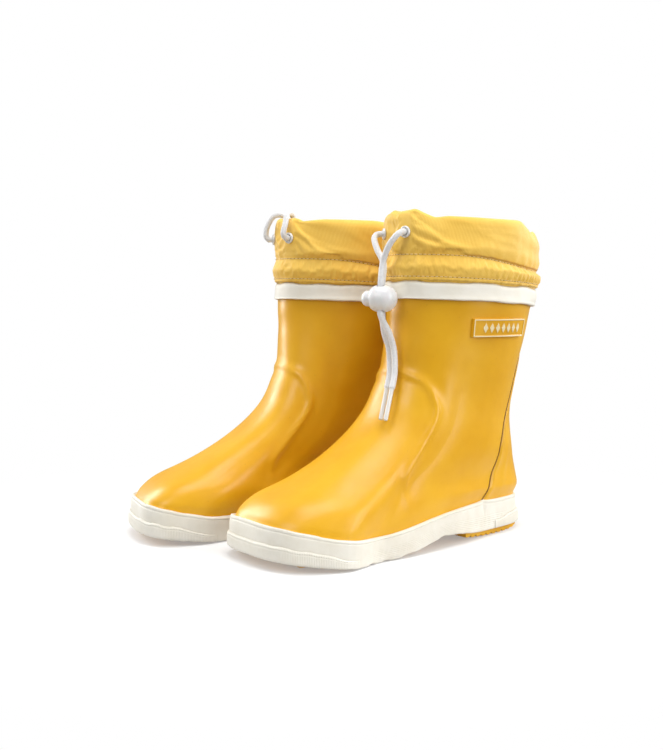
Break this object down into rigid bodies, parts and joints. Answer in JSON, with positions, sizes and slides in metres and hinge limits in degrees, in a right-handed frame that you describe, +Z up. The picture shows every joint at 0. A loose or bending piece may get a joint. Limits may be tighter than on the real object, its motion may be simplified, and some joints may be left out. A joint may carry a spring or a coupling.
{
  "type": "pair of rubber deck boots",
  "caption": "Pair of short pull-on rubber boots with a gathered fabric collar, a drawstring through two eyelets and a spring cord lock, on a moulded ridged sole.",
  "frame": {"origin": "on the ground, in the middle of the pair's bounding box in plan, measured without the free cords", "axes": "+Z up, toes towards -Y, the wearer's left boot at +X and the right boot at -X"},
  "size_m": [0.2083, 0.2661, 0.2291],
  "materials": {
    "yellow_rubber": "satin",
    "white_rubber": "matte",
    "collar_nylon": "woven twill",
    "lining_cotton": "matte",
    "board": "pressed fibre board",
    "foam": "foam, matte",
    "white_cord": "knitted cord",
    "white_plastic": "smooth",
    "clear_plastic": "translucent",
    "painted_metal": "semi-gloss",
    "spring_steel": "bright",
    "grey_tab": "matte"
  },
  "bodies": {
    "left_boot": {"left_outsole": "yellow_rubber", "left_midsole": "foam", "left_insole_board": "board", "left_footbed": "lining_cotton", "left_foxing": "white_rubber", "left_toe_guard": "white_rubber", "left_heel_guard": "white_rubber", "left_upper": "yellow_rubber", "left_lining": "lining_cotton", "left_instep_reinforcement": "yellow_rubber", "left_heel_counter": "yellow_rubber", "left_heel_tab": "grey_tab", "left_badge": "yellow_rubber", "left_top_band": "white_rubber", "left_collar": "collar_nylon", "left_eyelet_outer": "painted_metal", "left_eyelet_inner": "painted_metal", "left_washer_outer": "painted_metal", "left_washer_inner": "painted_metal", "left_tunnel_cord": "white_cord"},
    "left_drawstring": {"left_drawstring_outer": "white_cord", "left_drawstring_inner": "white_cord", "left_aglet_outer": "clear_plastic", "left_aglet_inner": "clear_plastic"},
    "left_cord_lock": {"left_cord_lock_body": "white_plastic", "left_cord_lock_spring": "spring_steel"},
    "left_lock_button": {"left_cord_lock_button": "white_plastic"},
    "right_boot": {"right_outsole": "yellow_rubber", "right_midsole": "foam", "right_insole_board": "board", "right_footbed": "lining_cotton", "right_foxing": "white_rubber", "right_toe_guard": "white_rubber", "right_heel_guard": "white_rubber", "right_upper": "yellow_rubber", "right_lining": "lining_cotton", "right_instep_reinforcement": "yellow_rubber", "right_heel_counter": "yellow_rubber", "right_heel_tab": "grey_tab", "right_badge": "yellow_rubber", "right_top_band": "white_rubber", "right_collar": "collar_nylon", "right_eyelet_outer": "painted_metal", "right_eyelet_inner": "painted_metal", "right_washer_outer": "painted_metal", "right_washer_inner": "painted_metal", "right_tunnel_cord": "white_cord"},
    "right_drawstring": {"right_drawstring_outer": "white_cord", "right_drawstring_inner": "white_cord", "right_aglet_outer": "clear_plastic", "right_aglet_inner": "clear_plastic"},
    "right_cord_lock": {"right_cord_lock_body": "white_plastic", "right_cord_lock_spring": "spring_steel"},
    "right_lock_button": {"right_cord_lock_button": "white_plastic"}
  },
  "joints": [
    {"name": "right_boot_lift", "type": "slide", "parent": "left_boot", "child": "right_boot", "axis": [0, 0, 1], "range_m": [0, 0.25]},
    {"name": "left_drawstring_swing", "type": "hinge", "parent": "left_boot", "child": "left_drawstring", "pos_m": [0.05576, 0.00935, 0.20989], "axis": [-0.9948, 0.1013, -0.0046], "range_deg": [0, 80], "deforming": ["left_drawstring_outer", "left_drawstring_inner"]},
    {"name": "left_cord_lock_slide", "type": "slide", "parent": "left_drawstring", "child": "left_cord_lock", "axis": [0, 0, 1], "range_m": [-0.018, 0.018], "deforming": ["left_drawstring_outer", "left_drawstring_inner"]},
    {"name": "left_lock_button_press", "type": "slide", "parent": "left_cord_lock", "child": "left_lock_button", "axis": [0.8, 0.6, 0], "range_m": [0, 0.0022], "stiffness_N_per_m": 900, "springref_m": -0.002, "deforming": ["left_cord_lock_spring"]},
    {"name": "right_drawstring_swing", "type": "hinge", "parent": "right_boot", "child": "right_drawstring", "pos_m": [-0.04327, -0.00708, 0.222], "axis": [0.991, -0.1338, -0.0046], "range_deg": [0, 20], "deforming": ["right_drawstring_outer", "right_drawstring_inner"]},
    {"name": "right_cord_lock_slide", "type": "slide", "parent": "right_drawstring", "child": "right_cord_lock", "axis": [0, 0, 1], "range_m": [-0.018, 0.018], "deforming": ["right_drawstring_outer", "right_drawstring_inner"]},
    {"name": "right_lock_button_press", "type": "slide", "parent": "right_cord_lock", "child": "right_lock_button", "axis": [-0.2334, -0.9724, 0], "range_m": [0, 0.0022], "stiffness_N_per_m": 900, "springref_m": -0.002, "deforming": ["right_cord_lock_spring"]}
  ]
}
